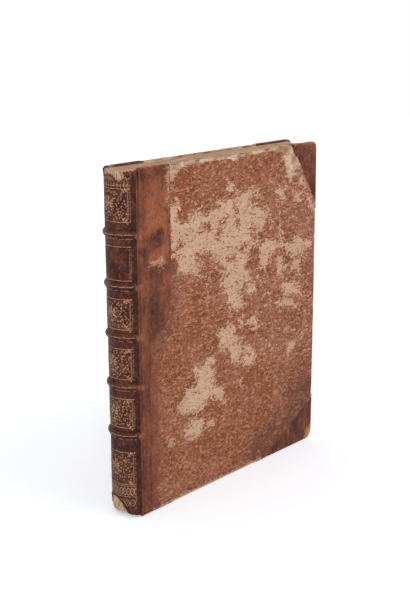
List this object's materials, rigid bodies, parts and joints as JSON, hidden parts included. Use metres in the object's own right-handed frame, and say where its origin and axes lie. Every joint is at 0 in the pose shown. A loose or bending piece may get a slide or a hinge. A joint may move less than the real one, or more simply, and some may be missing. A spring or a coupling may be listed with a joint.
{
  "type": "antique atlas",
  "caption": "Half-leather quarto atlas with a raised-band spine, gilt tooling, leather corners, rubbed mottled paper sides and two opening covers.",
  "frame": {"origin": "centre of the footprint, on the surface the book stands on", "axes": "+Z from tail to head, -X towards the spine, -Y towards the front cover"},
  "size_m": [0.2519, 0.0354, 0.29],
  "materials": {
    "spine_leather": "dark brown calf, rubbed and gilt-tooled",
    "corner_leather": "dark brown calf, scuffed",
    "mottled_paper": "reddish brown mottled paper, abraded",
    "board": "bare pasteboard, frayed at the head",
    "leaves": "aged rag paper, cut edges",
    "endpaper": "aged laid paper",
    "cord": "hemp cord"
  },
  "bodies": {
    "block": {"text_block": "leaves", "front_flyleaf": "endpaper", "back_flyleaf": "endpaper", "spine_leather": "spine_leather", "cord_1": "cord", "cord_2": "cord", "cord_3": "cord", "cord_4": "cord", "cord_5": "cord"},
    "front_cover": {"front_board": "board", "front_leather_side": "spine_leather", "front_head_corner": "corner_leather", "front_tail_corner": "corner_leather", "front_paper_side": "mottled_paper", "front_pastedown": "endpaper", "front_slip_1": "cord", "front_slip_2": "cord", "front_slip_3": "cord", "front_slip_4": "cord", "front_slip_5": "cord"},
    "back_cover": {"back_board": "board", "back_leather_side": "spine_leather", "back_head_corner": "corner_leather", "back_tail_corner": "corner_leather", "back_paper_side": "mottled_paper", "back_pastedown": "endpaper", "back_slip_1": "cord", "back_slip_2": "cord", "back_slip_3": "cord", "back_slip_4": "cord", "back_slip_5": "cord"}
  },
  "joints": [
    {"name": "front_cover_hinge", "type": "hinge", "parent": "block", "child": "front_cover", "pos_m": [-0.10887, -0.01685, 0.145], "axis": [0, 0, -1], "range_deg": [0, 170]},
    {"name": "back_cover_hinge", "type": "hinge", "parent": "block", "child": "back_cover", "pos_m": [-0.10887, 0.01685, 0.145], "axis": [0, 0, 1], "range_deg": [0, 170]}
  ]
}
